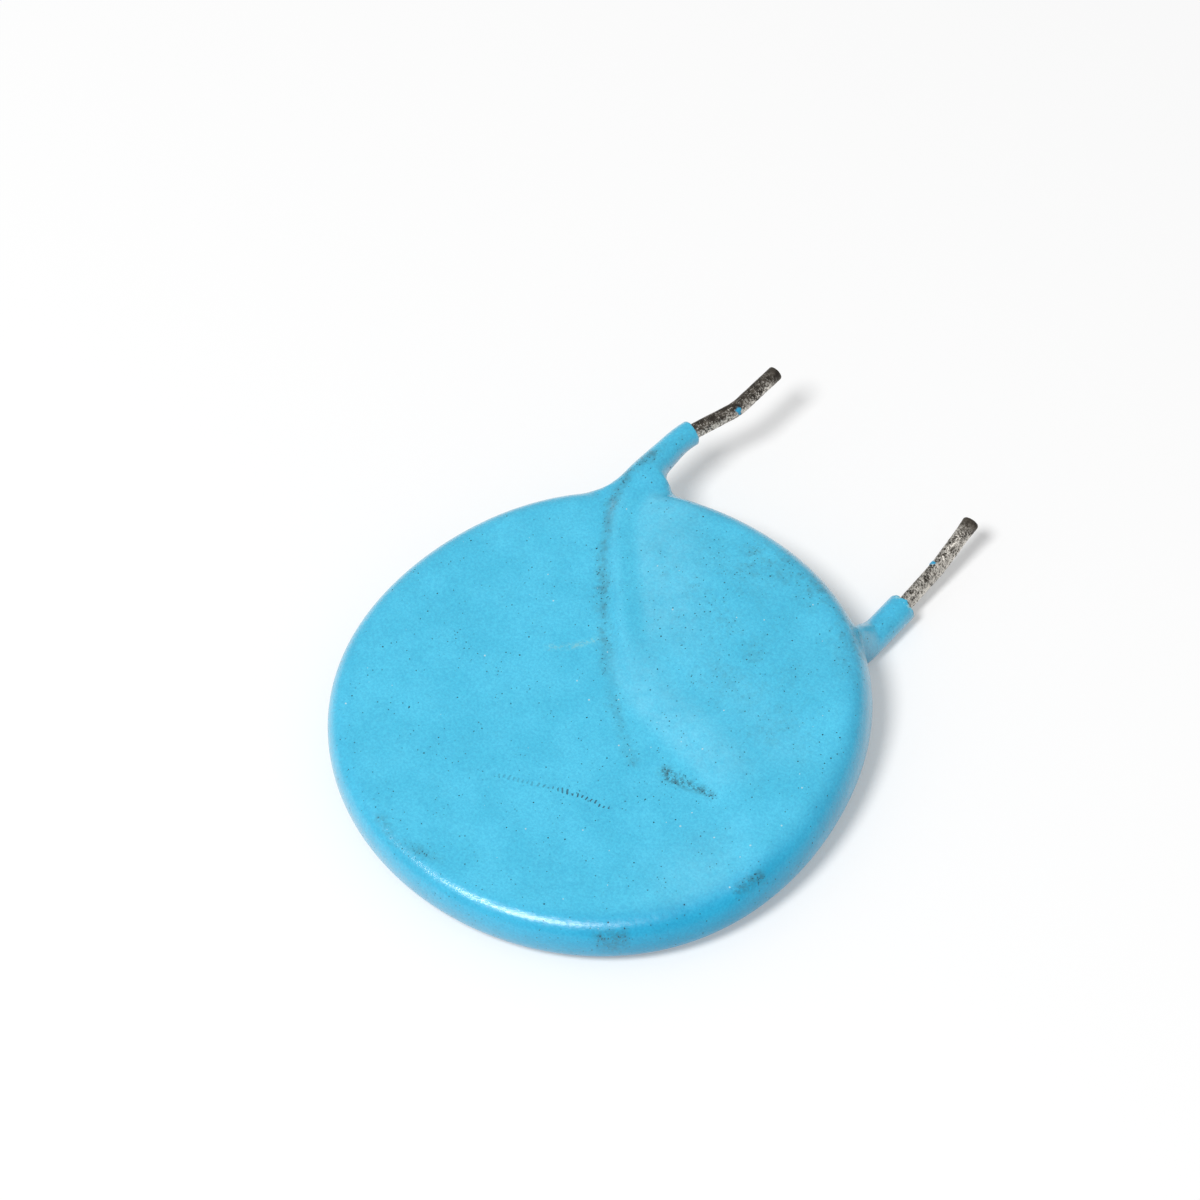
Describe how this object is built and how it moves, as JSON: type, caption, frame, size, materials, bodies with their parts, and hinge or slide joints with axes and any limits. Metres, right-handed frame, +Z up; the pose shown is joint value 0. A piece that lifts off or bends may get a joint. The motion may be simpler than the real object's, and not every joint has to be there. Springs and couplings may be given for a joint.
{
  "type": "disc varistor",
  "caption": "Round metal-oxide surge absorber: a flat ceramic disc dipped in blue epoxy, with wires crossing under the coat and leaving through tapered necks as short cut leads.",
  "frame": {"origin": "on the surface that it lies on, under the middle of its bounding box", "axes": "+Z up, off the face that lies uppermost; +Y the way the leads leave the disc; +X across the leads"},
  "size_m": [0.0266, 0.0344, 0.0043],
  "materials": {
    "coating": "sky-blue epoxy powder coat, smooth semi-gloss, dusty, with dark specks and a smudge",
    "ceramic": "dark grey-green fired zinc-oxide ceramic",
    "silver": "fired silver, matt",
    "lead_wire": "tinned wire, tarnished dark grey and pitted",
    "solder": "tin solder"
  },
  "bodies": {
    "root": {"epoxy_coating": "coating", "zinc_oxide_disc": "ceramic", "front_electrode": "silver", "back_electrode": "silver", "front_lead": "lead_wire", "back_lead": "lead_wire", "front_solder": "solder", "back_solder": "solder"}
  },
  "joints": []
}
